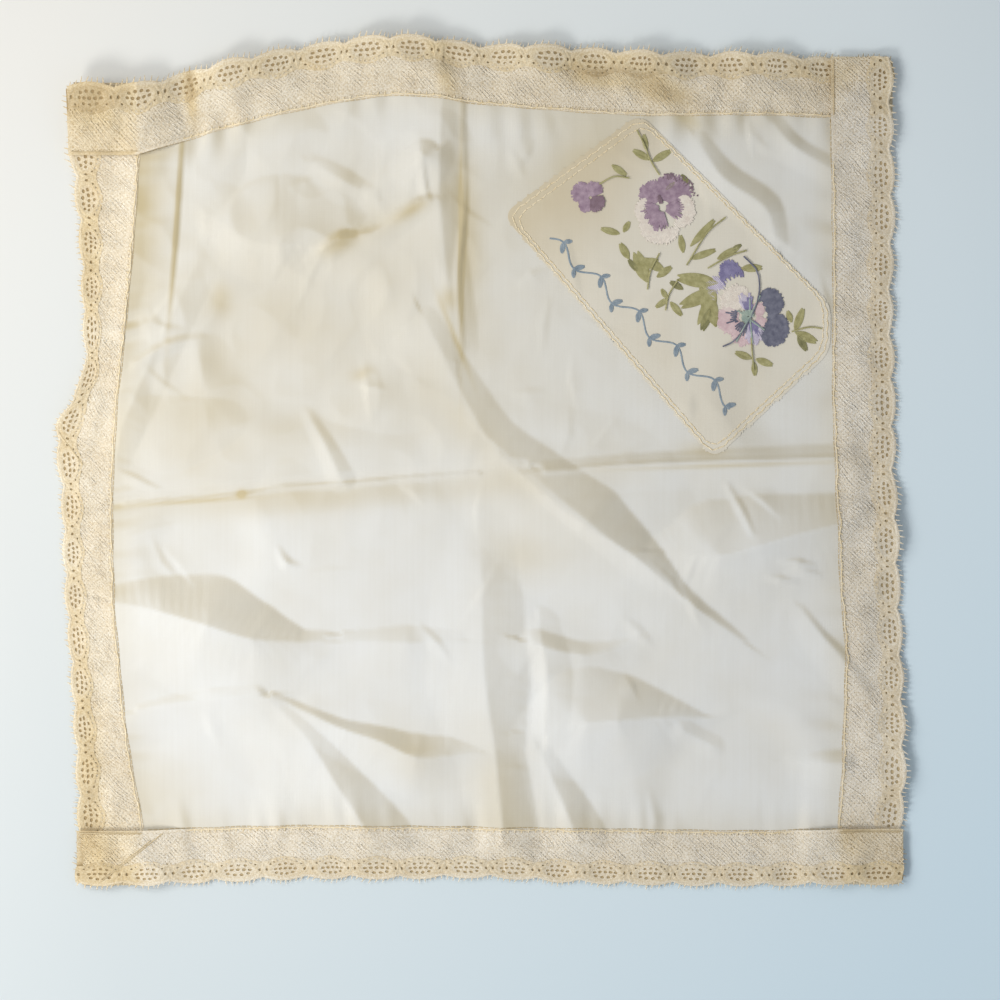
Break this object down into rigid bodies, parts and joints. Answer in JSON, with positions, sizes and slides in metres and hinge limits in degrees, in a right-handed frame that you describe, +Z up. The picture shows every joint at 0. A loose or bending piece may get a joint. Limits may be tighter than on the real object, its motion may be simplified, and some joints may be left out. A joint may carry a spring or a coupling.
{
  "type": "handkerchief",
  "caption": "Fine linen handkerchief with an embroidered corner panel and a scalloped lace edge, lying wrong side up in soft creases.",
  "frame": {"origin": "middle of the handkerchief's box, on the surface it lies on", "axes": "+Z up from the surface, +Y towards the edge at the top of the picture, +X to its right"},
  "size_m": [0.2828, 0.2828, 0.013],
  "materials": {
    "linen": "fine sheer plain weave, off-white, creased, lightly stained along the creases",
    "panel_linen": "fine plain weave, aged cream, embroidered in floss",
    "lace": "matt cotton machine lace, aged to a warm cream"
  },
  "bodies": {
    "root": {"cloth": "linen", "panel": "panel_linen", "lace_top": "lace", "lace_right": "lace", "lace_bottom": "lace", "lace_left": "lace"}
  },
  "joints": []
}
